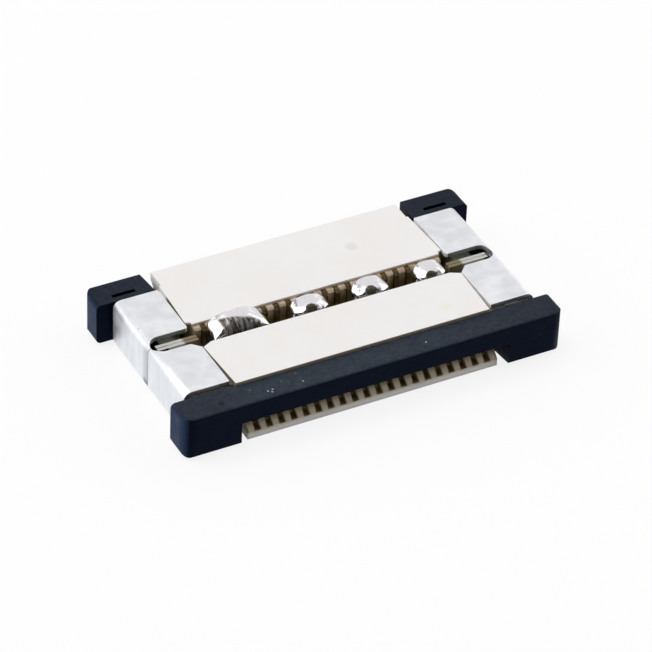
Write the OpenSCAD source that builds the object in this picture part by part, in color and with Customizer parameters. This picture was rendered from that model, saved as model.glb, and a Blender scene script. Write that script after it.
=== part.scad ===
// LED strip connector: two slide-lock flat-flex sockets soldered tail to tail.
// All sizes are in millimetres. X runs along the row of contacts, Y from the front mouth to the back mouth.
// Each piece is drawn for the front socket, whose mouth faces -Y. The back socket is the same, turned over.

/* [Contacts] */
// Number of contacts in each socket
ways = 20; // [18:1:24]
// Distance from one contact to the next
pitch = 0.5; // [0.45:0.05:0.8]
// Thickness of the contact sheet
contact_t = 0.18; // [0.12:0.01:0.24]
// Height of a contact's spring arms
arm_h = 0.19; // [0.12:0.01:0.22]
// How far the lower arm's bump stands above the ribs
bump_proud = 0.12; // [0.05:0.01:0.2]
// Radius of the lower arm's bump
bump_r = 0.13; // [0.08:0.01:0.18]
// Height of a solder tail
tail_h = 0.85; // [0.5:0.05:0.95]
// How far a solder tail stands out of its housing
tail_reach = 0.3; // [0.24:0.02:0.5]
// Chamfer on the tip of a solder tail
tail_chamfer = 0.12; // [0.05:0.01:0.2]
// Height of a solder tail's underside
tail_lift = 0.13; // [0.05:0.01:0.2]
// How far the lower arm's tip stays behind the floor's front edge
arm_tip_back = 0.3; // [0.25:0.01:0.5]
// How far the bump's middle stays behind the roof's front edge
bump_back = 0.11; // [0.05:0.01:0.3]
// How far the upper arm stops behind the roof's front edge
upper_arm_back = 0.6; // [0.4:0.05:1]

/* [Housing] */
// Height of a socket over its metal end shells
total_h = 2; // [1.9:0.05:2.4]
// Distance between the rear faces of the two housings
splice_gap = 1.2; // [1.1:0.05:2]
// Depth of the roof, from the rear face to its front edge
roof_depth = 2.6; // [2.4:0.05:3.5]
// How far the floor reaches past the roof
lip_reach = 0.9; // [0.5:0.05:1.05]
// Thickness of the floor under the contacts
floor_t = 0.3; // [0.2:0.01:0.35]
// Height of the ribs between the contacts
rib_h = 0.37; // [0.3:0.01:0.4]
// Height of the mouth above the ribs
mouth_h = 0.77; // [0.7:0.01:0.8]
// Depth of the slots in the roof for the upper arms
roof_slot_h = 0.27; // [0.22:0.01:0.3]
// Thickness of the rear wall that holds the contacts
rear_wall_t = 0.65; // [0.5:0.05:0.8]
// From the last contact to the side of the mouth
mouth_margin = 0.3; // [0.2:0.05:0.4]
// From the last contact to the end of the floor
floor_margin = 0.42; // [0.42:0.01:0.5]
// Thickness of the side wall at the rear of the mouth
side_wall_t = 0.31; // [0.25:0.01:0.5]
// How much the roof narrows on each side from rear to front
roof_taper = 0.12; // [0:0.01:0.14]
// Length along X of the cut on each rear corner
corner_cut_x = 0.4; // [0.1:0.05:0.5]
// Length along Y of the cut on each rear corner
corner_cut_y = 0.2; // [0.1:0.05:0.4]
// Thickness of the floor and roof of an end block
end_plate_t = 0.3; // [0.2:0.05:0.35]
// Thickness of the stop post at the mouth of an end block
post_t = 0.25; // [0.2:0.05:0.4]
// How far the ribs between the tails stand out of the rear face
tail_rib_reach = 0.22; // [0.1:0.02:0.24]
// Height of the ribs between the tails
tail_rib_h = 0.95; // [0.6:0.05:1.2]
// Chamfer on the tip of a rib between the tails
tail_rib_chamfer = 0.08; // [0.03:0.01:0.1]
// Height of the neck that reaches into the gap between the shells
neck_h = 0.9; // [0.6:0.05:1.1]
// From the side wall to the neck
neck_inset = 0.2; // [0.1:0.02:0.4]
// From the neck to the end block's outer face
neck_outset = 0.4; // [0.2:0.02:0.6]
// Height of the bead on the end of the neck
bead_h = 1.68; // [1.1:0.04:1.72]
// Depth of the bead on the end of the neck
bead_t = 0.16; // [0.1:0.02:0.3]
// How far the bead reaches in past the side of the roof
bead_inset = 0.14; // [0:0.02:0.16]
// How far the bead stops short of the end block's outer face
bead_outset = 0.14; // [0.1:0.02:0.4]

/* [Slider] */
// Depth of the bar and its ears
bar_depth = 1.16; // [1.06:0.02:1.4]
// Height of the strip's gap between the ribs and the bar
strip_gap = 0.39; // [0.3:0.01:0.45]
// How far the ears stay below the top and above the bottom of the shells
ear_margin = 0.13; // [0.05:0.01:0.2]
// How far an ear stands out past its shell
ear_over = 0.6; // [0.46:0.02:0.8]
// How far the ears reach back past the roof's front edge
ear_back = 0.05; // [0.02:0.01:0.1]
// Radius of an ear's outer front corner
ear_r = 0.5; // [0.3:0.02:0.6]
// Radius of an ear's long edges on its outer side
ear_edge_r = 0.2; // [0.1:0.01:0.25]
// Radius of the bar's and the ears' edges along their fronts
edge_r = 0.1; // [0.05:0.01:0.15]
// Lead-in of an ear's inner side, from its rear to its front
lead_in = 0.12; // [0.1:0.02:0.4]
// Length of the slot in an ear's underside
ear_slot_len = 0.95; // [0.6:0.05:1.1]
// Width of the slot in an ear's underside
ear_slot_w = 0.17; // [0.1:0.01:0.2]
// From an ear's rear face to its slot
ear_slot_back = 0.25; // [0.2:0.01:0.35]
// Depth of the slot in an ear's underside
ear_slot_sink = 0.25; // [0.1:0.01:0.3]
// Thickness of a side arm
side_arm_t = 0.76; // [0.5:0.02:0.8]
// How far the stop hook stands out of its arm
hook_out = 0.42; // [0.3:0.02:0.5]
// Depth of the stop hook
hook_t = 0.35; // [0.25:0.05:0.5]
// How far the slider pulls out to free the strip
travel = 1; // [0.7:0.05:1.05]
// How far the tongue reaches into the mouth
tongue_reach = 1.5; // [1.1:0.05:1.55]
// Chamfer on the tongue's leading edge
tongue_chamfer = 0.12; // [0.05:0.01:0.2]

/* [Shells] */
// Thickness of the sheet
sheet_t = 0.18; // [0.1:0.01:0.22]
// Outer radius of the bends
bend_r = 0.32; // [0.25:0.01:0.4]
// Width of a shell's plates, from the housing's seam to the outer wall
shell_w = 1.83; // [1.7:0.01:2.4]
// How far the shell stays behind the roof's front edge
shell_setback = 0.2; // [0.1:0.02:0.4]
// Gap between the plates of the front and back shells
shell_gap = 0.9; // [0.6:0.02:1]
// How far the round end of that opening runs into the bend
gap_over = 0.06; // [0:0.01:0.1]
// Cut on the inner rear corner of the upper plate
plate_cut = 0.32; // [0.1:0.02:0.4]
// Cut on the inner rear corner of the lower plate
sole_cut = 0.08; // [0.04:0.02:0.3]

/* [Solder] */
// How far each joint lies along X from the middle of its quarter of the row
solder_shift = [0.05, 0.6, 0.75, 0.9]; // [0:0.05:0.9]
// Length of each joint
solder_len = [2.5, 1.6, 1.6, 1.4]; // [1.2:0.05:2.5]
// How far each dome stands above the shells
solder_rise = [0.3, 0.06, 0.08, 0.05]; // [0:0.01:0.4]
// Radius of a dome's rounded ends
solder_r = 0.54; // [0.4:0.02:0.55]
// Radius of a joint's foot between the front tails
foot_r = 0.4; // [0.32:0.02:0.44]

/* [Clearances] */
// Each side of a contact in its slot
slot_clear = 0.02; // [0.01:0.005:0.04]
// Between a slider and the housing it runs in
run_clear = 0.05; // [0.03:0.005:0.08]
// Between a shell and the plastic that it clips on
clip_clear = 0.02; // [0.01:0.005:0.04]
// Seam between a shell's plates and the housing's roof or floor
seam = 0.03; // [0.02:0.01:0.1]
// How far the plastic stays below the shells' faces
flush_step = 0.01; // [0:0.01:0.06]
// Half of the seam between the two sockets
splice_seam = 0.01; // [0.005:0.005:0.03]

/* [Hidden] */
$fn = 48;
cut_over = 0.1;
solder_fn = 20;

// Along X, from the middle of the row
span = (ways - 1) * pitch;
mouth_half = span / 2 + mouth_margin;
floor_half = span / 2 + floor_margin;
roof_half = mouth_half + side_wall_t;
shell_in = roof_half + seam;
shell_out = shell_in + shell_w;
wall_in = shell_out - sheet_t;
block_out = wall_in - clip_clear;
ear_in = roof_half + run_clear;
ear_out = shell_out + ear_over;
arm_out = ear_in + side_arm_t;
post_in = arm_out + run_clear;
slot_w = contact_t + 2 * slot_clear;

// Along Y, as distances from the middle plane towards the mouth
rear_y = splice_gap / 2;
wall_y = rear_y + rear_wall_t;
roof_y = rear_y + roof_depth;
lip_y = roof_y + lip_reach;
bar_rear_y = roof_y + run_clear / 2;
bar_y = roof_y + bar_depth;
ear_rear_y = roof_y - ear_back;
shell_y = roof_y - shell_setback;
post_rear_y = shell_y - post_t;
hook_y = post_rear_y - travel - run_clear;
hook_rear_y = hook_y - hook_t;
block_y = hook_rear_y - run_clear;
tail_y = rear_y - tail_reach;
tail_rib_y = rear_y - tail_rib_reach;
upper_arm_y = roof_y - upper_arm_back;
lower_arm_y = lip_y - arm_tip_back;

// Along Z
bottom_z = flush_step;
top_z = total_h - flush_step;
slot_z = bottom_z + floor_t;
rib_z = slot_z + rib_h;
bar_z = rib_z + strip_gap;
roof_z = rib_z + mouth_h;
roof_slot_z = roof_z + roof_slot_h;
plate_z = sheet_t + clip_clear;
arm_z = plate_z + end_plate_t + run_clear;
ear_z = ear_margin;
tail_z = tail_lift;

plastic = "#e9e4d6";
black = "#22262d";
tin = "#c9c9c6";
solder = "#d4d5d6";
plated = "#b89a78";

SIDES = ["front", "back"];
SHELLS = ["left", "right"];

function contact_x(i) = -span / 2 + i * pitch;

// Middle of a solder joint: the joints share the row out between them
function solder_x(i) = span * ((i + 0.5) / len(solder_len) - 0.5) + solder_shift[i];

// Puts a piece of the front socket in the socket that is named
module in_socket(side) {
    if (side == "front") children();
    else translate([0, 0, total_h]) rotate([180, 0, 0]) children();
}

// Keeps the +X piece for the right end, and mirrors it for the left end
module at_end(end) {
    if (end == "right") children();
    else mirror([1, 0, 0]) children();
}

module both_ends() {
    for (end = SHELLS) at_end(end) children();
}

// Box from its low and high corners, with Y as a distance towards the mouth
module block(low, high) {
    translate([low[0], -high[1], low[2]])
        cube([high[0] - low[0], high[1] - low[1], high[2] - low[2]]);
}

// Extrudes a profile drawn as [distance towards the mouth, height] along X
module along_x(x0, x1) {
    translate([x0, 0, 0]) rotate([90, 0, -90]) mirror([0, 0, 1])
        linear_extrude(x1 - x0) children();
}

// Extrudes a plan drawn as [x, distance towards the mouth] upwards
module upwards(z0, z1) {
    translate([0, 0, z0]) mirror([0, 1, 0]) linear_extrude(z1 - z0) children();
}

// Extrudes an elevation drawn as [x, height] from one distance to another
module towards_mouth(y0, y1) {
    translate([0, -y0, 0]) rotate([90, 0, 0]) linear_extrude(y1 - y0) children();
}

// Rectangle whose two corners on the high side of its first axis are round
module round_ended(low, high, r) {
    translate(low) square([high[0] - low[0] - r, high[1] - low[1]]);
    translate([low[0], low[1] + r]) square([high[0] - low[0], high[1] - low[1] - 2 * r]);
    for (v = [low[1] + r, high[1] - r]) translate([high[0] - r, v]) circle(r);
}

// Plan of the housing: the roof narrows to the front and its rear corners are cut
module housing_plan() {
    half = [
        [0, rear_y],
        [roof_half - corner_cut_x, rear_y],
        [roof_half, rear_y + corner_cut_y],
        [roof_half - roof_taper, roof_y],
        [0, roof_y]
    ];
    for (m = [0, 1]) mirror([m, 0]) polygon(half);
}

// Section of the floor and its ribs, with the lead-in ramp at the lip
module floor_section() {
    polygon([
        [rear_y, bottom_z],
        [lip_y, bottom_z],
        [lip_y, slot_z],
        [lip_y - rib_h, rib_z],
        [rear_y, rib_z]
    ]);
}

// Section of the slot that one contact lies in
module slot_section() {
    translate([rear_y - cut_over, slot_z]) square([lip_y - rear_y + 2 * cut_over, rib_h + cut_over]);
    translate([rear_y - cut_over, slot_z]) square([rear_wall_t + cut_over, roof_slot_z - slot_z]);
    translate([rear_y - cut_over, roof_z - cut_over])
        square([upper_arm_y + run_clear - rear_y + cut_over, roof_slot_h + cut_over]);
}

// Guides the slider's side arm, holds the shell and stops the hook
module end_block() {
    difference() {
        block([mouth_half, block_y - end_plate_t, plate_z], [block_out, shell_y, total_h - plate_z]);
        block(
            [roof_half, block_y, plate_z + end_plate_t],
            [block_out + cut_over, shell_y + cut_over, total_h - plate_z - end_plate_t]
        );
    }
    block([post_in, post_rear_y, plate_z], [block_out, shell_y, total_h - plate_z]);
    neck_in = roof_half + neck_inset;
    neck_out = block_out - neck_outset;
    bead_in = roof_half - bead_inset;
    bead_out = block_out - bead_outset;
    block(
        [neck_in, splice_seam, (total_h - neck_h) / 2],
        [neck_out, block_y, (total_h + neck_h) / 2]
    );
    block(
        [bead_in, splice_seam, (total_h - bead_h) / 2],
        [bead_out, bead_t, (total_h + bead_h) / 2]
    );
}

// Ribs between the tails, one on each side of every tail
module tail_ribs() {
    rib_half = (pitch - slot_w) / 2;
    for (i = [0:ways]) translate([contact_x(i) - pitch / 2, 0, 0])
        along_x(-rib_half, rib_half) polygon([
            [rear_y + cut_over, tail_z],
            [tail_rib_y + tail_rib_chamfer, tail_z],
            [tail_rib_y, tail_z + tail_rib_chamfer],
            [tail_rib_y, tail_z + tail_rib_h],
            [rear_y + cut_over, tail_z + tail_rib_h]
        ]);
}

module housing() {
    color(plastic) difference() {
        union() {
            tail_ribs();
            along_x(-floor_half, floor_half) floor_section();
            upwards(bottom_z, top_z) housing_plan();
            both_ends() end_block();
        }
        block([-mouth_half, wall_y, rib_z], [mouth_half, roof_y + cut_over, roof_z]);
        for (i = [0:ways - 1])
            translate([contact_x(i), 0, 0]) along_x(-slot_w / 2, slot_w / 2) slot_section();
    }
}

// Plan of an ear, with its lead-in on the inner side and a round outer front corner
module ear_plan() {
    polygon([
        [ear_in, ear_rear_y],
        [ear_out, ear_rear_y],
        [ear_out, bar_y - ear_r],
        [ear_out - ear_r, bar_y],
        [ear_in + lead_in, bar_y]
    ]);
    translate([ear_out - ear_r, bar_y - ear_r]) circle(ear_r);
}

// Narrow slot in an ear's underside, beside the shell
module ear_slot() {
    slot_y = ear_rear_y + ear_slot_back;
    block(
        [wall_in - ear_slot_len, slot_y, ear_z - cut_over],
        [wall_in, slot_y + ear_slot_w, ear_z + ear_slot_sink]
    );
}

// Side arm with its stop hook
module side_arm() {
    upwards(arm_z, total_h - arm_z) polygon([
        [ear_in, hook_rear_y],
        [arm_out, hook_rear_y],
        [arm_out + hook_out, hook_rear_y + hook_t / 2],
        [arm_out + hook_out, hook_y],
        [arm_out, hook_y],
        [arm_out, roof_y + edge_r],
        [ear_in, roof_y + edge_r]
    ]);
}

// Section of the tongue that presses the strip on the contacts
module tongue_section() {
    tongue_y = roof_y - tongue_reach;
    tongue_top = roof_z - run_clear;
    polygon([
        [tongue_y, bar_z + tongue_chamfer],
        [tongue_y + tongue_chamfer, bar_z],
        [bar_rear_y + edge_r, bar_z],
        [bar_rear_y + edge_r, tongue_top],
        [tongue_y, tongue_top]
    ]);
}

module slider() {
    color(black) {
        difference() {
            intersection() {
                union() {
                    block([-ear_out, bar_rear_y, bar_z], [ear_out, bar_y, total_h - ear_z]);
                    both_ends() upwards(ear_z, total_h - ear_z) ear_plan();
                }
                along_x(-ear_out, ear_out) round_ended([rear_y, ear_z], [bar_y, total_h - ear_z], edge_r);
                both_ends() towards_mouth(rear_y, bar_y)
                    round_ended([-cut_over, ear_z], [ear_out, total_h - ear_z], ear_edge_r);
                upwards(ear_z, total_h - ear_z) {
                    both_ends() ear_plan();
                    translate([-ear_in - lead_in, bar_rear_y]) square([2 * (ear_in + lead_in), bar_depth]);
                }
            }
            both_ends() ear_slot();
        }
        along_x(-mouth_half + run_clear, mouth_half - run_clear) tongue_section();
        both_ends() side_arm();
    }
}

// Elevation of a shell: a channel bent round the end block
module shell_elevation() {
    difference() {
        round_ended([shell_in, 0], [shell_out, total_h], bend_r);
        round_ended([0, sheet_t], [wall_in, total_h - sheet_t], bend_r - sheet_t);
    }
}

// What the slot between the front and back shells takes off one plate: round at its outer end,
// with a cut on the plate's inner corner
module shell_cut(cut) {
    half_gap = shell_gap / 2;
    round_x = wall_in + gap_over - half_gap;
    upwards(-cut_over, sheet_t + cut_over) polygon([
        [shell_in - cut_over, -cut_over],
        [round_x, -cut_over],
        [round_x, half_gap],
        [shell_in + cut, half_gap],
        [shell_in, half_gap + cut],
        [shell_in - cut_over, half_gap + cut]
    ]);
    upwards(-cut_over, sheet_t + cut_over) translate([round_x, 0]) circle(half_gap);
}

module shell() {
    color(tin) difference() {
        towards_mouth(splice_seam, shell_y) shell_elevation();
        shell_cut(sole_cut);
        translate([0, 0, total_h]) mirror([0, 0, 1]) shell_cut(plate_cut);
    }
}

// Outline of a tail, outside the housing
tail_outline = [
    [rear_y, tail_z],
    [tail_y + tail_chamfer, tail_z],
    [tail_y, tail_z + tail_chamfer],
    [tail_y, tail_z + tail_h],
    [rear_y, tail_z + tail_h]
];

// Contact: a base in the rear wall, two arms round the strip, a bump that presses on it and a tail
module contact(i) {
    bump_y = roof_y - bump_back;
    bump_z = rib_z + bump_proud - bump_r;
    lower_z = slot_z + slot_clear;
    upper_z = roof_slot_z - slot_clear;
    outline = concat(tail_outline, [
        [rear_y, roof_slot_z],
        [wall_y, roof_slot_z],
        [wall_y, upper_z],
        [upper_arm_y, upper_z],
        [upper_arm_y, upper_z - arm_h],
        [wall_y, upper_z - arm_h],
        [wall_y, lower_z + arm_h],
        [bump_y - bump_r, lower_z + arm_h],
        [bump_y - bump_r, bump_z],
        [bump_y + bump_r, bump_z],
        [bump_y + bump_r, lower_z + arm_h],
        [lower_arm_y, lower_z + arm_h],
        [lower_arm_y, lower_z],
        [wall_y, lower_z],
        [wall_y, slot_z],
        [rear_y, slot_z]
    ]);
    color(plated) translate([contact_x(i), 0, 0]) {
        along_x(-contact_t / 2, contact_t / 2) polygon(outline);
        along_x(-contact_t / 2, contact_t / 2) translate([bump_y, bump_z]) circle(bump_r);
    }
}

// Solder joint: a dome over the back tails that runs down between the front tails
module solder_joint(i) {
    dome_x = solder_len[i] / 2 - solder_r;
    dome_z = total_h + solder_rise[i] - solder_r;
    foot_x = solder_len[i] / 2 - foot_r;
    foot_z = tail_z + foot_r;
    color(solder) difference() {
        translate([solder_x(i), 0, 0]) hull() {
            for (x = [-dome_x, dome_x]) translate([x, 0, dome_z]) sphere(solder_r, $fn = solder_fn);
            for (x = [-foot_x, foot_x]) translate([x, 0, foot_z]) sphere(foot_r, $fn = solder_fn);
        }
        for (side = SIDES) in_socket(side) {
            tail_ribs();
            for (k = [0:ways - 1]) translate([contact_x(k), 0, 0])
                along_x(-contact_t / 2, contact_t / 2) polygon(tail_outline);
        }
    }
}

for (s = SIDES) {
    in_socket(s) housing();
    in_socket(s) slider();
    for (e = SHELLS)
        in_socket(s) at_end(e) shell();
    for (i = [1:ways])
        in_socket(s) contact(i - 1);
}
for (i = [1:len(solder_len)])
    solder_joint(i - 1);
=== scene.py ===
import math

import bmesh
import bpy
from mathutils import Matrix, Vector, noise


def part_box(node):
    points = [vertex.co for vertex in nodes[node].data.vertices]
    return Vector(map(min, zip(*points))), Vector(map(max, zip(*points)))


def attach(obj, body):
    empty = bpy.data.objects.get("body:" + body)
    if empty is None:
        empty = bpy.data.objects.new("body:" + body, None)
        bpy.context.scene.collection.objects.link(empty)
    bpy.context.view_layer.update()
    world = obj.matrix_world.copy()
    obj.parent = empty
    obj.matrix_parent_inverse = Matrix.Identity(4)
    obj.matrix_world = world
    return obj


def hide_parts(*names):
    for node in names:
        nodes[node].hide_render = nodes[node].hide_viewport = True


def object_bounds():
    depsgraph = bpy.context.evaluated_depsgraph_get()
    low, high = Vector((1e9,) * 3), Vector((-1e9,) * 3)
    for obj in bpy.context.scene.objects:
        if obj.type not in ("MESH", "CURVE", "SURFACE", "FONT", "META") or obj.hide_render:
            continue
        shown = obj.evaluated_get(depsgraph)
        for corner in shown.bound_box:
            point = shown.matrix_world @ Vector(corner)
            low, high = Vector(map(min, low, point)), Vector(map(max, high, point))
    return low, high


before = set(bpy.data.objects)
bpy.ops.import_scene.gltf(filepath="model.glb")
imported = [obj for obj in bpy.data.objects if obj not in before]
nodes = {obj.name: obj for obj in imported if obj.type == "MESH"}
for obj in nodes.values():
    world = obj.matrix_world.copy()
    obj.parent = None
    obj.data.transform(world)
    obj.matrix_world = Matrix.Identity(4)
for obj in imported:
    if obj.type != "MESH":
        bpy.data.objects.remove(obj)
cad_low, cad_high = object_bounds()

# Sizes are written in millimetres and scaled to metres where a mesh or lamp is made
MM = 0.001
MM_PER_METRE = 1000

SOCKETS = ("front", "back")
ENDS = ("left", "right")
WAYS = 20
PITCH = 0.5
MIDDLE_LEVEL = 1

# Sockets of the colour mix node, which has a set for each type of value
MIX_COLOURS = (6, 7)
MIX_RESULT = 2

# Ranges of a mottle's value round its middle
WIDE = (0.3, 0.7)
NARROW = (0.35, 0.65)

# How metallic a surface is when it is bare and when it is covered
COVER = (0, 1)
METAL_SHARE = (1, 0.2)


class Wiring:
    """The shader nodes of one tree, put together by short calls."""

    def __init__(self, tree):
        self.tree = tree

    def add(self, kind):
        """A new shader node."""
        return self.tree.nodes.new(f"ShaderNode{kind}")

    def link(self, output, socket):
        """Joins one node's output to another's socket."""
        self.tree.links.new(output, socket)

    def joined(self, operation, first, second):
        """Two values put together; either may be a plain number."""
        node = self.add("Math")
        node.operation = operation
        for socket, value in zip(node.inputs, (first, second)):
            if isinstance(value, (int, float)):
                socket.default_value = value
            else:
                self.link(value, socket)
        return node.outputs["Value"]

    def product(self, first, *others):
        """All the values multiplied."""
        for other in others:
            first = self.joined("MULTIPLY", first, other)
        return first

    def most(self, first, *others):
        """The largest of the values."""
        for other in others:
            first = self.joined("MAXIMUM", first, other)
        return first

    def size(self, value):
        """The value without its sign."""
        return self.joined("ABSOLUTE", value, 0)

    def band(self, value, edges, levels=(0, 1)):
        """The value eased from one level at the first edge to the other at the second, and held beyond."""
        node = self.add("MapRange")
        node.interpolation_type = "SMOOTHSTEP"
        node.inputs["From Min"].default_value = edges[0]
        node.inputs["From Max"].default_value = edges[1]
        node.inputs["To Min"].default_value = levels[0]
        node.inputs["To Max"].default_value = levels[1]
        self.link(value, node.inputs["Value"])
        return node.outputs["Result"]

    def mixed(self, factor, first, second):
        """A colour between first and second; either may be a plain colour."""
        node = self.add("Mix")
        node.data_type = "RGBA"
        self.link(factor, node.inputs["Factor"])
        for index, value in zip(MIX_COLOURS, (first, second)):
            if isinstance(value, tuple):
                node.inputs[index].default_value = (*value, 1)
            else:
                self.link(value, node.inputs[index])
        return node.outputs[MIX_RESULT]

    def axes(self, vector):
        """The three parts of a vector."""
        node = self.add("SeparateXYZ")
        self.link(vector, node.inputs["Vector"])
        return node.outputs["X"], node.outputs["Y"], node.outputs["Z"]

    def stretched(self, vector, scale):
        """The vector scaled along each axis, so that a pattern runs long or short there."""
        node = self.add("Mapping")
        node.inputs["Scale"].default_value = scale
        self.link(vector, node.inputs["Vector"])
        return node.outputs["Vector"]

    def mottle(self, vector, scale, detail, roughness=0.55):
        """Cloudy variation, about 0 to 1 with its middle at 0.5."""
        node = self.add("TexNoise")
        node.inputs["Scale"].default_value = scale
        node.inputs["Detail"].default_value = detail
        node.inputs["Roughness"].default_value = roughness
        self.link(vector, node.inputs["Vector"])
        return node.outputs["Fac"]

    def grain(self, vector, scale):
        """Distance to the nearest of many scattered points, and a random colour for each point."""
        node = self.add("TexVoronoi")
        node.inputs["Scale"].default_value = scale
        self.link(vector, node.inputs["Vector"])
        return node.outputs["Distance"], node.outputs["Color"]


class Finish(Wiring):
    """A material in the making, which knows where each point of a surface lies and how it faces.

    The place and its parts x, y and z are the object's own, in millimetres. Along, depth and
    level are how far x, y and z lie from the part's middle. Across, ahead and up are the parts
    of the facing.
    """

    def __init__(self, name):
        self.material = bpy.data.materials.new(name)
        self.material.use_nodes = True
        super().__init__(self.material.node_tree)
        self.surface = self.tree.nodes["Principled BSDF"]
        metres = self.add("TexCoord").outputs["Object"]
        self.place = self.stretched(metres, (MM_PER_METRE, MM_PER_METRE, MM_PER_METRE))
        self.x, self.y, self.z = self.axes(self.place)
        self.along = self.size(self.x)
        self.depth = self.size(self.y)
        self.level = self.size(self.joined("SUBTRACT", self.z, MIDDLE_LEVEL))
        self.across, self.ahead, self.up = self.axes(self.add("NewGeometry").outputs["Normal"])

    def near(self, centre, radius):
        """1 at a centre given in millimetres, easing to 0 at the radius."""
        node = self.add("VectorMath")
        node.operation = "DISTANCE"
        node.inputs[1].default_value = centre
        self.link(self.place, node.inputs[0])
        return self.band(node.outputs["Value"], (radius, radius / 2))

    def marked(self, colour, tint, centre, radius, strength):
        """The colour with a round mark of another tint on it."""
        return self.mixed(self.product(self.near(centre, radius), strength), colour, tint)

    def paint(self, socket, value):
        """Sends a varying value to one of the surface's sockets."""
        self.link(value, self.surface.inputs[socket])

    def keep(self, socket, value):
        """Sets one of the surface's sockets to a value that doesn't vary."""
        self.surface.inputs[socket].default_value = value

    def relief(self, height, depth):
        """Fine relief of the surface, depth in millimetres."""
        node = self.add("Bump")
        node.inputs["Strength"].default_value = 1
        node.inputs["Distance"].default_value = depth * MM
        self.link(height, node.inputs["Height"])
        self.paint("Normal", node.outputs["Normal"])


# Housings
# A zone's two numbers are where it begins and where it is full, in millimetres.
# Facing zones are parts of the surface's direction, from 0 to 1.

CREAM_WARM = (0.86, 0.832, 0.81)
CREAM_COOL = (0.87, 0.86, 0.853)
CREAM_FLECK = (0.78, 0.72, 0.64)
CREAM_FLECK_RANGE = (0.64, 0.8)
CREAM_FLECK_SHARE = (0, 0.2)
CREAM_ROUGHNESS = (0.46, 0.6)
CREAM_SHINE = 0.3
CREAM_RELIEF = 0.003

MOUTH_DEPTH = (3.2, 3.3)
COMB_LEVEL = (0.82, 0.74)
# Painted shade on the comb: the ribs a darker tan, the slots and the ribs near the bar darker still
RIB_SHADE = (0.68, 0.6, 0.47)
SLOT_SHADOW = (0.26, 0.21, 0.11)
SLOT_SIDE = (0.07, 0.15)
SLOT_LEVEL = (0.74, 0.66)
SLOT_BOTTOM = (0.62, 0.38)
# Painted shade on the floors of the comb's slots
MOUTH_FLOOR_SHADE = (0.3, 0.22, 0.08)
MOUTH_FLOOR_FACING = (0.9, 0.97)
MOUTH_FLOOR_DEPTH = (4.06, 4.02)
MOUTH_FLOOR_LEVEL = (0.85, 0.75)
# Painted shadow on the edges of roof and floor beside the sliders, greyer towards the ends
BRINK_SHADOW = (0.36, 0.29, 0.2)
BRINK_END_SHADOW = (0.2, 0.21, 0.19)
BRINK_FACING = (0.6, 0.9)
BRINK_HEIGHT = (1.6, 1.7)
BRINK_DEPTH = (3.1, 3.15)
BRINK_END = (5.4, 5.45)

# Painted shade on the end blocks' cheeks and ledges beside the shells; towards the back they stay a plain
# cream, and on a pale bar at the front right the shade stops
FRONT_CHEEK_SHADE = (0.25, 0.21, 0.15)
BACK_CHEEK_TINT = (0.86, 0.84, 0.82)
CHEEK_FACING = (-0.4, -0.8)
CHEEK_HEIGHT = (1.4, 1.5)
CHEEK_ALONG = (5, 5.2)
BACK_CHEEK = (2.4, 2.6)
LEDGE_BOTTOM = (1.76, 1.79)
LEDGE_TOP = (1.84, 1.81)
BAR_TINT = (0.8, 0.82, 0.8)
BAR_LEFT = (5.95, 6.1)
BAR_RIGHT = (6.6, 6.5)
BAR_FRONT = (-2.5, -2.6)

# Brown flux staining in the gap, with painted shade: darker towards its middle height, darkest on the front
# housing's rear wall
STAIN_DARK = (0.46, 0.35, 0.21)
STAIN_PALE = (0.7, 0.59, 0.47)
GAP_DEEP_SHADE = (0.24, 0.15, 0.025)
GAP_FRONT_WALL_SHADE = (0.09, 0.07, 0.04)
STAIN_STRETCH = (1.6, 1, 0.7)
GAP_DEEP_SHADE_LEVEL = (0.72, 0.3)
GAP_FRONT_WALL = (-0.5, -0.6)
GAP_DEPTH = (0.66, 0.62)
GAP_LEVEL = (0.97, 0.9)
GAP_ALONG = (5.2, 5.1)

# Painted shade in the slots between the shells at each end: dark faces, a paler grey neck and top, black
# where the slot opens into a hole
END_SLOT_SHADE = (0.2, 0.165, 0.09)
NECK_SHADE = (0.7, 0.73, 0.68)
HOLE_SHADOW = (0.015, 0.015, 0.015)
CREST_SHADE = (0.55, 0.53, 0.5)
NECK_ALONG = (5.7, 5.95)
LEFT_HOLE = (-6.4, -6.48)
RIGHT_HOLE = (6.66, 6.76)
CREST_FACING = (0.5, 0.9)
CREST_LEVEL = (0.78, 0.82)
CREST_ALONG = (5.75, 5.95)
END_SLOT_DEPTH = (1.1, 1.02)
END_SLOT_ALONG = (5.12, 5.2)
END_SLOT_LEVEL = (0.93, 0.88)

SMUDGE = {"tint": (0.62, 0.55, 0.5), "centre": (2.38, 2.4, 2), "radius": 0.3, "strength": 0.32}
YELLOWED = {"tint": (0.8, 0.75, 0.58), "centre": (3.85, -2.38, 2), "radius": 0.28, "strength": 0.3}


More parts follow.
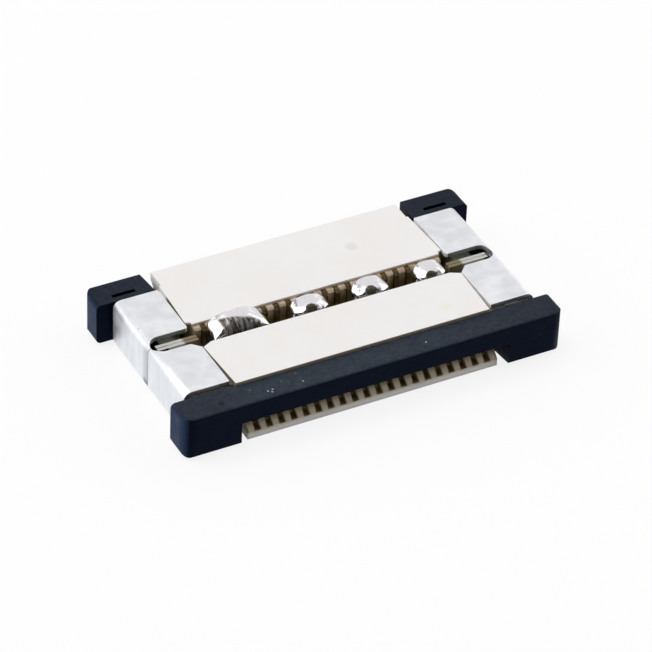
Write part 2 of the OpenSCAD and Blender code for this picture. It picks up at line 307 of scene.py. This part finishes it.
def shaded_mouth(look, colour):
    """The colour with painted shade in the strip's mouth: the comb's ribs darker, its slots and the ribs near
    the bar darker still, the slot floors dark, and a painted shadow along the brink of roof and floor.
    """
    flat = look.size(look.up)
    mouth = look.band(look.depth, MOUTH_DEPTH)
    # Painted shade on the comb, darkest in its slots and near the bar
    slot = look.joined("PINGPONG", look.x, PITCH / 2)
    shade = look.product(look.band(slot, SLOT_SIDE), look.band(look.level, SLOT_LEVEL))
    shade = look.most(shade, look.band(look.level, SLOT_BOTTOM))
    comb = look.mixed(shade, RIB_SHADE, SLOT_SHADOW)
    colour = look.mixed(look.product(mouth, look.band(look.level, COMB_LEVEL)), colour, comb)
    # Painted shade on the slot floors
    floors = look.product(
        look.band(flat, MOUTH_FLOOR_FACING),
        look.band(look.depth, MOUTH_FLOOR_DEPTH),
        mouth,
        look.band(look.level, MOUTH_FLOOR_LEVEL),
    )
    colour = look.mixed(floors, colour, MOUTH_FLOOR_SHADE)
    # Painted shadow along the brink beside the slider
    brink = look.product(
        look.band(look.size(look.ahead), BRINK_FACING),
        look.band(look.z, BRINK_HEIGHT),
        look.band(look.depth, BRINK_DEPTH),
    )
    edge = look.mixed(look.band(look.along, BRINK_END), BRINK_SHADOW, BRINK_END_SHADOW)
    return look.mixed(brink, colour, edge)


def shaded_cheeks(look, colour):
    """The colour with painted shade on the end blocks' cheeks and ledges beside the shells, plain cream
    towards the back, and a pale bar at the front right where the shade stops.
    """
    # Painted shade on the cheeks and ledges, plain cream towards the back, pale on a bar at the front right
    cheek = look.product(look.band(look.across, CHEEK_FACING), look.band(look.z, CHEEK_HEIGHT))
    ledge = look.product(look.band(look.z, LEDGE_BOTTOM), look.band(look.z, LEDGE_TOP))
    cheek = look.product(look.most(cheek, ledge), look.band(look.along, CHEEK_ALONG))
    tint = look.mixed(look.band(look.y, BACK_CHEEK), FRONT_CHEEK_SHADE, BACK_CHEEK_TINT)
    bar = look.product(
        look.band(look.x, BAR_LEFT),
        look.band(look.x, BAR_RIGHT),
        look.band(look.y, BAR_FRONT),
    )
    return look.mixed(cheek, colour, look.mixed(bar, tint, BAR_TINT))


def stained_and_shaded_gap(look, colour):
    """The colour with brown flux staining run down between the contact tails, and painted shade that is
    darker towards the gap's middle height and darkest on the front housing's rear wall.
    """
    run = look.mottle(look.stretched(look.place, STAIN_STRETCH), scale=1.5, detail=3)
    stain_and_shade = look.mixed(look.band(run, NARROW), STAIN_DARK, STAIN_PALE)
    # Painted shade: darker towards the gap's middle height and on the front housing's rear wall
    stain_and_shade = look.mixed(look.band(look.level, GAP_DEEP_SHADE_LEVEL), stain_and_shade, GAP_DEEP_SHADE)
    stain_and_shade = look.mixed(look.band(look.y, GAP_FRONT_WALL), stain_and_shade, GAP_FRONT_WALL_SHADE)
    gap = look.product(
        look.band(look.depth, GAP_DEPTH),
        look.band(look.level, GAP_LEVEL),
        look.band(look.along, GAP_ALONG),
    )
    return look.mixed(gap, colour, stain_and_shade)


def shaded_end_slots(look, colour):
    """The colour with painted shade in the slot between the shells at each end: dark faces, a paler grey neck
    and top, and a black painted shadow for the hole at the outer end.
    """
    crest = look.product(
        look.band(look.size(look.up), CREST_FACING),
        look.band(look.level, CREST_LEVEL),
        look.band(look.along, CREST_ALONG),
    )
    # Painted shade, paler on the neck and its top, black at the hole
    slot_shade = look.mixed(look.band(look.along, NECK_ALONG), END_SLOT_SHADE, NECK_SHADE)
    hole = look.most(look.band(look.x, LEFT_HOLE), look.band(look.x, RIGHT_HOLE))
    slot_shade = look.mixed(hole, slot_shade, HOLE_SHADOW)
    slot_shade = look.mixed(crest, slot_shade, CREST_SHADE)
    slots = look.product(
        look.band(look.depth, END_SLOT_DEPTH),
        look.band(look.along, END_SLOT_ALONG),
        look.band(look.level, END_SLOT_LEVEL),
    )
    return look.mixed(slots, colour, slot_shade)


def cream_plastic():
    """Satin off-white moulding, stained where flux has run, with painted shade in its mouth, on its cheeks,
    in the gap between the sockets and in the slots of its ends.
    """
    look = Finish("cream_plastic")
    cloud = look.mottle(look.place, scale=0.45, detail=2)
    fleck = look.mottle(look.place, scale=5, detail=4, roughness=0.7)
    colour = look.mixed(look.band(cloud, WIDE), CREAM_WARM, CREAM_COOL)
    colour = look.mixed(look.band(fleck, CREAM_FLECK_RANGE, CREAM_FLECK_SHARE), colour, CREAM_FLECK)
    colour = shaded_mouth(look, colour)
    colour = shaded_cheeks(look, colour)
    colour = stained_and_shaded_gap(look, colour)
    colour = shaded_end_slots(look, colour)
    colour = look.marked(colour, **SMUDGE)
    colour = look.marked(colour, **YELLOWED)
    look.paint("Base Color", colour)
    look.paint("Roughness", look.band(fleck, WIDE, CREAM_ROUGHNESS))
    look.keep("Specular IOR Level", CREAM_SHINE)
    look.relief(look.mottle(look.place, scale=14, detail=3), CREAM_RELIEF)
    return look.material


# Sliders

BLACK_FACE = (0.0008, 0.0024, 0.011)
# The tops: part dust, part painted light
BLACK_TOP_DUST_AND_LIGHT = (0.043, 0.052, 0.067)
# Painted sheen on the ears' end faces, bluer and lighter
BLACK_END_SHEEN = (0.02, 0.032, 0.07)
BLACK_ROUGHNESS = (0.42, 0.55)
BLACK_SHINE = 0.05
BLACK_SHINE_TINT = (0.4, 0.7, 1, 1)
BLACK_RELIEF = 0.02

# The lighter film on the tops, part dust and part painted light, thinner in patches, at the back, on the ears
# and to the right
FILM_CLOUD_RANGE = (0.25, 0.75)
FILM_CLOUD = (0.8, 1)
FILM_PEBBLE = (0.66, 1)
FILM_DEPTH = (2, -2)
FILM_BACK = (0.62, 1)
FILM_EAR_ALONG = (5, 6.5)
FILM_EAR = (1, 0.82)
FILM_RIGHT_ALONG = (1, 5)
FILM_RIGHT = (1, 0.84)
TOP_FACING = (0.3, 0.95)
END_FACING = (0.5, 0.95)
END_ALONG = (7.3, 7.4)

DUST_TINT = (0.4, 0.41, 0.44)
SCATTER_SCALE = 2.4
SCATTER_CHANCE = (0.9, 0.92)
SCATTER_RADIUS = (0.09, 0.05)
SLIDER_TOP = 1.87
DUST_PLACES = ((-4.32, -3.96), (-4.12, -3.93), (-4.2, -4.06), (-2.91, -3.97), (2.22, -3.82))
DUST = {"tint": DUST_TINT, "radius": 0.045, "strength": 1}
FAINT_DUST_PLACES = ((-4.89, -3.65), (-2.96, -3.44), (-3.63, -3.64))
FAINT_DUST = {"tint": DUST_TINT, "radius": 0.07, "strength": 0.12}
GATE_PLACES = ((-6.16, -3.92),)
GATE = {"tint": (0.004, 0.006, 0.01), "radius": 0.16, "strength": 0.6}


def black_plastic():
    """Blue-black moulding with a pebbled skin, a lighter film on its tops that is part dust and part painted
    light, a painted sheen on the ears' end faces, and a few pale flecks.
    """
    look = Finish("black_plastic")
    cloud = look.mottle(look.place, scale=1.2, detail=3)
    pebble = look.mottle(look.place, scale=6, detail=3, roughness=0.6)
    film = look.product(
        look.band(cloud, FILM_CLOUD_RANGE, FILM_CLOUD),
        look.band(pebble, WIDE, FILM_PEBBLE),
        look.band(look.y, FILM_DEPTH, FILM_BACK),
        look.band(look.along, FILM_EAR_ALONG, FILM_EAR),
        look.band(look.x, FILM_RIGHT_ALONG, FILM_RIGHT),
    )
    # Tops lighter, part dust and part painted light
    tops = look.product(look.band(look.up, TOP_FACING), film)
    colour = look.mixed(tops, BLACK_FACE, BLACK_TOP_DUST_AND_LIGHT)
    # Painted sheen on the end faces
    ends = look.product(look.band(look.size(look.across), END_FACING), look.band(look.along, END_ALONG))
    colour = look.mixed(ends, colour, BLACK_END_SHEEN)
    distance, chance = look.grain(look.place, SCATTER_SCALE)
    red, _, _ = look.axes(chance)
    scatter = look.product(look.band(red, SCATTER_CHANCE), look.band(distance, SCATTER_RADIUS), tops)
    colour = look.mixed(scatter, colour, DUST_TINT)
    for places, mark in ((DUST_PLACES, DUST), (FAINT_DUST_PLACES, FAINT_DUST), (GATE_PLACES, GATE)):
        for x, y in places:
            colour = look.marked(colour, centre=(x, y, SLIDER_TOP), **mark)
    look.paint("Base Color", colour)
    look.paint("Roughness", look.band(cloud, WIDE, BLACK_ROUGHNESS))
    look.keep("Specular IOR Level", BLACK_SHINE)
    look.keep("Specular Tint", BLACK_SHINE_TINT)
    look.relief(pebble, BLACK_RELIEF)
    return look.material


# Shells

PLATE_DULL = (0.73, 0.735, 0.765)
PLATE_BRIGHT = (0.84, 0.85, 0.87)
# Painted light: the walls a lighter, bluer copy of the plates' tin
WALL_PAINTED_LIGHT_DULL = (0.76, 0.785, 0.825)
WALL_PAINTED_LIGHT_BRIGHT = (0.86, 0.88, 0.915)
WALL_FACING = (0.3, 0.9)
WALL_DRAWN = (0.25, 0.7)
WALL_COLOUR_RANGE = (0.3, 0.7)
UPRIGHT_RANGE = (0.4, 0.7)
DRAWN_STRETCH = (0.6, 4, 0.6)
TIN_ROUGHNESS = (0.42, 0.54)
TIN_RELIEF = 0.006

PIT_TINT = (0.45, 0.45, 0.46)
PIT_SCALE = 1.6
PIT_CHANCE = (0.86, 0.88)
PIT_RADIUS = (0.07, 0.03)
# Painted shade on the sheet's cut edges near the middle, dark grey-green and barely metallic
CUT_EDGE_SHADE = (0.22, 0.25, 0.23)
CUT_FACING = (0.6, 0.9)
CUT_DEPTH = (0.75, 0.65)
INWARD = (0, -2)
# Painted shadow: the shells' inward faces near the outer ends of the slots near black
INSIDE_SHADOW = (0.02, 0.02, 0.02)
INSIDE_LEVEL = (0.82, 0.78)
INSIDE_ALONG = (6.2, 6.4)
# Painted highlight: the shells' inward edges beside the housings pale and barely metallic
SEAM_HIGHLIGHT = (0.9, 0.9, 0.9)
SEAM_ALONG = (5.7, 5.6)
# Painted shade on the walls just behind where two shells meet
GROOVE_SHADE = (0.42, 0.43, 0.45)
GROOVE_FRONT = (-0.06, 0.02)
GROOVE_BACK = (0.6, 0.04)
GROOVE_STRENGTH = 0.65
# Painted shadow for a small notch at the foot of the meeting line
NOTCH_SHADOW = (0.1, 0.1, 0.11)
NOTCH_FRONT = (-0.04, 0.02)
NOTCH_BACK = (0.44, 0.24)
NOTCH_HEIGHT = (0.55, 0.2)
NOTCH_STRENGTH = 0.8


def tinned_sheet():
    """Satin tin plate with clouded shine, faint drawn lines and small pits; walls in a lighter, bluer painted
    light, painted shade on cut edges and inside the slot ends, a painted highlight on the inward edges, and
    painted shade and shadow where two shells meet.
    """
    look = Finish("tinned_sheet")
    drawn = look.mottle(look.stretched(look.place, DRAWN_STRETCH), scale=1, detail=4, roughness=0.6)
    cloud = look.mottle(look.place, scale=1.3, detail=4, roughness=0.6)
    wall = look.band(look.size(look.across), WALL_FACING, WALL_DRAWN)
    shine = look.joined("ADD", cloud, look.product(look.joined("SUBTRACT", drawn, cloud), wall))
    lit = look.band(shine, NARROW)
    plate = look.mixed(lit, PLATE_DULL, PLATE_BRIGHT)
    # Walls in a lighter, bluer painted light
    colour = look.mixed(look.band(wall, WALL_COLOUR_RANGE), plate, look.mixed(lit, WALL_PAINTED_LIGHT_DULL, WALL_PAINTED_LIGHT_BRIGHT))
    distance, chance = look.grain(look.place, PIT_SCALE)
    _, green, _ = look.axes(chance)
    pit = look.product(look.band(green, PIT_CHANCE), look.band(distance, PIT_RADIUS))
    colour = look.mixed(pit, colour, PIT_TINT)
    # Painted shade on the cut edges
    cut = look.product(look.band(look.size(look.ahead), CUT_FACING), look.band(look.depth, CUT_DEPTH))
    colour = look.mixed(cut, colour, CUT_EDGE_SHADE)
    # Painted shadow inside the slot ends
    inward = look.band(look.product(look.across, look.x), INWARD)
    inside = look.product(look.band(look.level, INSIDE_LEVEL), look.band(look.along, INSIDE_ALONG), inward)
    colour = look.mixed(inside, colour, INSIDE_SHADOW)
    # Painted highlight on the inward edges
    seam = look.product(inward, look.band(look.along, SEAM_ALONG))
    colour = look.mixed(seam, colour, SEAM_HIGHLIGHT)
    upright = look.band(wall, UPRIGHT_RANGE)
    # Painted shade behind the meeting line
    groove = look.product(look.band(look.y, GROOVE_FRONT), look.band(look.y, GROOVE_BACK), upright)
    colour = look.mixed(look.product(groove, GROOVE_STRENGTH), colour, GROOVE_SHADE)
    # Painted shadow at the foot
    notch = look.product(
        look.band(look.y, NOTCH_FRONT),
        look.band(look.y, NOTCH_BACK),
        upright,
        look.band(look.z, NOTCH_HEIGHT),
    )
    colour = look.mixed(look.product(notch, NOTCH_STRENGTH), colour, NOTCH_SHADOW)
    look.paint("Base Color", colour)
    look.paint("Metallic", look.band(look.most(cut, inside, seam), COVER, METAL_SHARE))
    look.paint("Roughness", look.band(cloud, WIDE, TIN_ROUGHNESS))
    look.relief(shine, TIN_RELIEF)
    return look.material


# Solder

SOLDER_BRIGHT = (0.8, 0.775, 0.81)
SOLDER_DULL = (0.55, 0.51, 0.44)
SOLDER_DULL_RANGE = (0.6, 0.72)
SOLDER_DULL_SHARE = (0, 0.5)
SOLDER_ROUGHNESS_RANGE = (0.4, 0.7)
SOLDER_ROUGHNESS = (0.12, 0.28)
SOLDER_RELIEF = 0.04

# A dark painted reflection covers the left bead's front, below a line that slopes along the row
DARK_REFLECTION_TINT = (0.06, 0.05, 0.035)
DARK_REFLECTION_LEFT = (-4.32, -4.2)
DARK_REFLECTION_RIGHT = (-2.55, -2.85)
DARK_REFLECTION_SLOPE = 0.32
DARK_REFLECTION_LINE = (-1.04, -1.16)
DARK_REFLECTION_STRETCH = (9, 1.5, 2)
DARK_REFLECTION_STREAK_RANGE = (0.38, 0.55)
DARK_REFLECTION_STREAK = (0.5, 1)

# Dark painted reflections: a ragged spot low on the front of each of the other beads
REFLECTION_SPOT_PLACES = ((-0.68, -0.34, 1.95), (1.83, -0.3, 1.95), (4.34, -0.4, 1.95))
REFLECTION_SPOT_RADIUS = 0.3
REFLECTION_SPOT_RAGGED = (0.5, 1.3)
REFLECTION_SPOT_EDGE = (0.25, 0.6)


def bright_solder():
    """Bright solder with a rippled skin and dull specks, and dark painted reflections on the beads' fronts: a
    band on the left bead and a ragged spot on each other bead.
    """
    look = Finish("bright_solder")
    ripple = look.mottle(look.place, scale=1.6, detail=2)
    dull = look.mottle(look.place, scale=5, detail=3)
    spot_mottle = look.mottle(look.place, scale=7, detail=4, roughness=0.7)
    streak = look.mottle(look.stretched(look.place, DARK_REFLECTION_STRETCH), scale=1, detail=4, roughness=0.65)
    line = look.joined("ADD", look.y, look.product(look.x, DARK_REFLECTION_SLOPE))
    # Dark painted reflection on the left bead's front, below the sloping line
    dark_reflection = look.product(
        look.band(look.x, DARK_REFLECTION_LEFT),
        look.band(look.x, DARK_REFLECTION_RIGHT),
        look.band(line, DARK_REFLECTION_LINE),
        look.band(streak, DARK_REFLECTION_STREAK_RANGE, DARK_REFLECTION_STREAK),
    )
    # Ragged dark painted reflection spots
    for centre in REFLECTION_SPOT_PLACES:
        ragged = look.product(look.near(centre, REFLECTION_SPOT_RADIUS), look.band(spot_mottle, NARROW, REFLECTION_SPOT_RAGGED))
        dark_reflection = look.most(dark_reflection, look.band(ragged, REFLECTION_SPOT_EDGE))
    colour = look.mixed(look.band(dull, SOLDER_DULL_RANGE, SOLDER_DULL_SHARE), SOLDER_BRIGHT, SOLDER_DULL)
    # The painted reflections are dark and barely metallic
    look.paint("Base Color", look.mixed(dark_reflection, colour, DARK_REFLECTION_TINT))
    look.paint("Metallic", look.band(dark_reflection, COVER, METAL_SHARE))
    look.paint("Roughness", look.band(dull, SOLDER_ROUGHNESS_RANGE, SOLDER_ROUGHNESS))
    look.relief(ripple, SOLDER_RELIEF)
    return look.material


# Contacts

# Painted shade: the plating dark brown, as the contacts look in the slots and the gap
PLATING_SHADE_DARK = (0.075, 0.045, 0.012)
PLATING_SHADE_PALE = (0.17, 0.12, 0.055)
PLATING_METALLIC = 0.4
PLATING_SHINE = 0.2
PLATING_ROUGHNESS = (0.4, 0.55)
PLATING_RELIEF = 0.004


def plated_contact():
    """Dark brown plating on the stamped contacts, painted this dark as the shade and dark reflections they
    show in the slots and the gap.
    """
    look = Finish("plated_contact")
    cloud = look.mottle(look.place, scale=3, detail=3)
    look.paint("Base Color", look.mixed(look.band(cloud, NARROW), PLATING_SHADE_DARK, PLATING_SHADE_PALE))
    look.keep("Metallic", PLATING_METALLIC)
    look.paint("Roughness", look.band(cloud, WIDE, PLATING_ROUGHNESS))
    look.keep("Specular IOR Level", PLATING_SHINE)
    look.relief(look.mottle(look.place, scale=12, detail=2), PLATING_RELIEF)
    return look.material


# Pieces

WELD_GAP = 0.0001
FLAT_ANGLE = 0.5
SLIT_WIDTH = 0.0005

# Width of the broken edges, and how many strips round them from which angle on
HOUSING_EDGE = {"edge": 0.03, "segments": 2, "angle": 35}
CONTACT_EDGE = {"edge": 0.02, "segments": 2, "angle": 35}
SLIDER_EDGE = {"edge": 0.08, "segments": 3, "angle": 12}
SHELL_EDGE = {"edge": 0.03, "segments": 3, "angle": 12}


def dress(node, finish, edge, segments, angle):
    """Gives a CAD node its finish, breaks its sharp edges and closes slits of no width."""
    part = nodes[node]
    part.data.materials.clear()
    part.data.materials.append(finish)
    weld = part.modifiers.new("weld", "WELD")
    weld.merge_threshold = WELD_GAP * MM
    plain = part.modifiers.new("plain_faces", "DECIMATE")
    plain.decimate_type = "DISSOLVE"
    plain.angle_limit = math.radians(FLAT_ANGLE)
    broken = part.modifiers.new("broken_edges", "BEVEL")
    broken.width = edge * MM
    broken.segments = segments
    broken.limit_method = "ANGLE"
    broken.angle_limit = math.radians(angle)
    broken.harden_normals = True
    closed = part.modifiers.new("closed_slits", "WELD")
    closed.merge_threshold = SLIT_WIDTH * MM


# The beads' shared shape: the level of their widest belt, how square their brow, back and foot
# are, how much rounder their ends are, how much their foot narrows, and the size of their lumps
BEAD_BELT = 1.6
BEAD_BROW = 3.2
BEAD_BACK = 3
BEAD_FOOT = 3
BEAD_END = 0.8
BEAD_NARROWING = 0.3
BEAD_SUBDIVISIONS = 5
LUMP_SCALE = 1.8
LUMP_HEIGHT = 0.035
LUMP_SPREAD = 0.03
TINY = 1e-6

BEADS = (
    {"reach": (-4.7, -2.32), "front": -0.4, "corner": 1, "crest": 0.95, "lean": 0.04,
     "falls": (0.16, 0.22), "seed": 1.3},
    {"reach": (-1.36, 0.21), "front": -0.45, "corner": 0, "crest": 0.5, "lean": 0.08,
     "falls": (0.15, 0.15), "seed": 4.7},
    {"reach": (1.2, 2.73), "front": -0.45, "corner": 0, "crest": 0.6, "lean": 0.08,
     "falls": (0.15, 0.15), "seed": 8.1},
    {"reach": (3.8, 5.15), "front": -0.45, "corner": 0, "crest": 0.6, "lean": 0.08,
     "falls": (0.15, 0.15), "seed": 2.9},
)


def rounded(value, power):
    """Height over a flat-topped hump, 1 at its middle and 0 at its edge."""
    return max(0.0, 1 - min(1.0, abs(value)) ** power) ** (1 / power)


def loaf_height(x, y, crest, lean, falls):
    """Height of a loaf, 0 to 1, over a square that runs from -1 to 1 each way.

    The crest lies towards the back, the top leans down from it to the front, and the falls
    are what the left and right ends have lost of the height.
    """
    front = max(0.0, (crest - y) / (1 + crest))
    back = max(0.0, (y - crest) / (1 - crest))
    across = rounded(front, BEAD_BROW) * rounded(back, BEAD_BACK) * (1 - lean * front)
    fall = falls[0] if x < 0 else falls[1]
    return across * rounded(x, BEAD_END * BEAD_BROW) * (1 - fall * x * x)


def solder_bead(number, finish, reach, front, corner, crest, lean, falls, seed):
    """A loaf of solder with blunt ends, bridging the tails of both sockets and narrowing to its foot.

    The reach is where the left and right ends lie along the row, and the front is where
    the loaf ends towards the front socket, in millimetres. The corner is 0 for a round
    outline from above and 1 for a square one. The seed picks the loaf's own lumps.
    """
    node = f"solder_joint_{number}"
    low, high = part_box(node)
    belt = BEAD_BELT * MM
    left, right = (end * MM for end in reach)
    middle = Vector(((left + right) / 2, (front * MM + high.y) / 2, belt))
    half = Vector(((right - left) / 2, (high.y - front * MM) / 2, high.z - belt))
    bm = bmesh.new()
    bmesh.ops.create_icosphere(bm, subdivisions=BEAD_SUBDIVISIONS, radius=1)
    for vertex in bm.verts:
        unit = vertex.co.copy()
        ring = max(math.hypot(unit.x, unit.y), TINY)
        square = (ring / max(abs(unit.x), abs(unit.y), TINY)) ** corner
        x = unit.x * square
        y = unit.y * square
        lump = noise.noise(Vector((x * LUMP_SCALE + seed, y * LUMP_SCALE, unit.z)))
        spread = 1 - LUMP_SPREAD * (1 - lump)
        if unit.z >= 0:
            height = loaf_height(x, y, crest, lean, falls) * (1 - LUMP_HEIGHT * (1 - lump))
        else:
            height = unit.z * (belt - low.z) / half.z
            spread *= rounded(unit.z, BEAD_FOOT) / ring * (1 - BEAD_NARROWING * unit.z ** 2)
        vertex.co = middle + Vector((half.x * x * spread, half.y * y * spread, half.z * height))
    bmesh.ops.recalc_face_normals(bm, faces=bm.faces)
    for face in bm.faces:
        face.smooth = True
    mesh = bpy.data.meshes.new(f"solder_bead_{number}")
    bm.to_mesh(mesh)
    bm.free()
    mesh.materials.append(finish)
    bead = bpy.data.objects.new(f"solder_bead_{number}", mesh)
    bpy.context.scene.collection.objects.link(bead)
    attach(bead, "splice")
    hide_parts(node)


# Studio

FLOOR_HALF_METRES = 1.5
FLOOR_DROP = 0.01
FLOOR_COLOUR = (0.95, 0.95, 0.95, 1)
FLOOR_GLOW = 0.85
WHITE = (1, 1, 1, 1)

# Each lamp's name, place and panel size in millimetres, and how bright its panel looks
LAMPS = (
    ("lamp_above", (-170, 90, 430), (340, 360), 2.25),
    ("lamp_behind", (190, 330, 400), (560, 560), 0.5),
    ("lamp_left", (-400, 220, 240), (560, 400), 1.2),
    ("lamp_right", (420, -60, 220), (560, 400), 1.3),
    ("lamp_front", (-80, -480, 70), (460, 120), 0.5),
)

# The room's brightness, and the directions between which it changes
ROOM_FRONT = 0.05
ROOM_SKY = 0.4
ROOM_BACKDROP = 0.9
SKY_EDGE = (0.5, 0.3)
OPENING_AHEAD = (-0.05, -0.25)
OPENING_LEFT = (-0.9, -0.8)
OPENING_RIGHT = (0.75, 0.6)

# The camera's angles in degrees, its distance and offset in millimetres, and its lens
AZIMUTH = 28.887
ELEVATION = 37.553
ROLL = 2.455
DISTANCE = 149.256
OFFSET_ACROSS = 0.133
OFFSET_UP = 0.517
FOCAL_PIXELS = 4000
PICTURE_PIXELS = 652
SENSOR = 36
CLIP_START = 1
CLIP_END_METRES = 10


def white_floor():
    """A white studio floor: bright to the camera and in reflections, with the object's shadow kept."""
    material = bpy.data.materials.new("white_floor")
    material.use_nodes = True
    wiring = Wiring(material.node_tree)
    shaders = material.node_tree.nodes
    shaders.remove(shaders["Principled BSDF"])
    matt = wiring.add("BsdfDiffuse")
    matt.inputs["Color"].default_value = FLOOR_COLOUR
    glow = wiring.add("Emission")
    glow.inputs["Color"].default_value = WHITE
    glow.inputs["Strength"].default_value = 1
    path = wiring.add("LightPath").outputs
    seen = wiring.most(path["Is Camera Ray"], path["Is Glossy Ray"], path["Is Transmission Ray"])
    mix = wiring.add("MixShader")
    wiring.link(wiring.product(seen, FLOOR_GLOW), mix.inputs["Fac"])
    wiring.link(matt.outputs["BSDF"], mix.inputs[1])
    wiring.link(glow.outputs["Emission"], mix.inputs[2])
    wiring.link(mix.outputs["Shader"], shaders["Material Output"].inputs["Surface"])
    return material


def floor(finish):
    """The plain white floor the part lies on."""
    bm = bmesh.new()
    bmesh.ops.create_grid(bm, x_segments=1, y_segments=1, size=FLOOR_HALF_METRES)
    bmesh.ops.translate(bm, verts=bm.verts, vec=(0, 0, cad_low.z - FLOOR_DROP * MM))
    mesh = bpy.data.meshes.new("floor")
    bm.to_mesh(mesh)
    bm.free()
    mesh.materials.append(finish)
    ground = bpy.data.objects.new("floor", mesh)
    bpy.context.scene.collection.objects.link(ground)


def softbox(name, place, size, level):
    """A soft lamp panel that faces the part; level is how bright the panel itself looks."""
    lamp = bpy.data.lights.new(name, "AREA")
    lamp.shape = "RECTANGLE"
    lamp.size, lamp.size_y = (side * MM for side in size)
    lamp.energy = level * math.pi * lamp.size * lamp.size_y
    stand = bpy.data.objects.new(name, lamp)
    stand.location = Vector(place) * MM
    stand.rotation_euler = Vector(place).to_track_quat("Z", "Y").to_euler()
    stand.visible_camera = False
    bpy.context.scene.collection.objects.link(stand)


def daylight():
    """The room round the lamps: white low at the back and sides, grey above, dark in front."""
    world = bpy.data.worlds.new("room")
    world.use_nodes = True
    wiring = Wiring(world.node_tree)
    background = world.node_tree.nodes["Background"]
    background.inputs["Color"].default_value = WHITE
    across, ahead, up = wiring.axes(wiring.add("TexCoord").outputs["Generated"])
    level = wiring.band(up, SKY_EDGE, (ROOM_SKY, ROOM_BACKDROP))
    opening = wiring.product(
        wiring.band(ahead, OPENING_AHEAD),
        wiring.band(across, OPENING_LEFT),
        wiring.band(across, OPENING_RIGHT),
    )
    level = wiring.product(level, wiring.joined("SUBTRACT", 1, opening))
    level = wiring.joined("ADD", level, wiring.product(opening, ROOM_FRONT))
    wiring.link(level, background.inputs["Strength"])
    bpy.context.scene.world = world


def camera():
    """A long lens at the picture's viewing angle."""
    azimuth, elevation, roll = (math.radians(angle) for angle in (AZIMUTH, ELEVATION, ROLL))
    back = Vector((
        -math.sin(azimuth) * math.cos(elevation),
        -math.cos(azimuth) * math.cos(elevation),
        math.sin(elevation),
    ))
    level_right = Vector((math.cos(azimuth), -math.sin(azimuth), 0))
    level_up = back.cross(level_right)
    right = math.cos(roll) * level_right + math.sin(roll) * level_up
    up = back.cross(right)
    lens = bpy.data.cameras.new("camera")
    lens.sensor_width = SENSOR
    lens.lens = FOCAL_PIXELS / PICTURE_PIXELS * SENSOR
    lens.clip_start = CLIP_START * MM
    lens.clip_end = CLIP_END_METRES
    eye = bpy.data.objects.new("camera", lens)
    turned = Matrix((right, up, back)).transposed().to_4x4()
    place = (back * DISTANCE + right * OFFSET_ACROSS + up * OFFSET_UP) * MM
    eye.matrix_world = Matrix.Translation(place) @ turned
    bpy.context.scene.collection.objects.link(eye)
    bpy.context.scene.camera = eye


cream = cream_plastic()
black = black_plastic()
tin = tinned_sheet()
solder = bright_solder()
plating = plated_contact()

for side in SOCKETS:
    dress(f"{side}_housing", cream, **HOUSING_EDGE)
    dress(f"{side}_slider", black, **SLIDER_EDGE)
    for end in ENDS:
        dress(f"{side}_{end}_shell", tin, **SHELL_EDGE)
    for way in range(1, WAYS + 1):
        dress(f"{side}_contact_{way}", plating, **CONTACT_EDGE)

for number, bead in enumerate(BEADS, 1):
    solder_bead(number, solder, **bead)

floor(white_floor())
for lamp in LAMPS:
    softbox(*lamp)
daylight()
camera()

scene = bpy.context.scene
scene.view_settings.view_transform = "Standard"
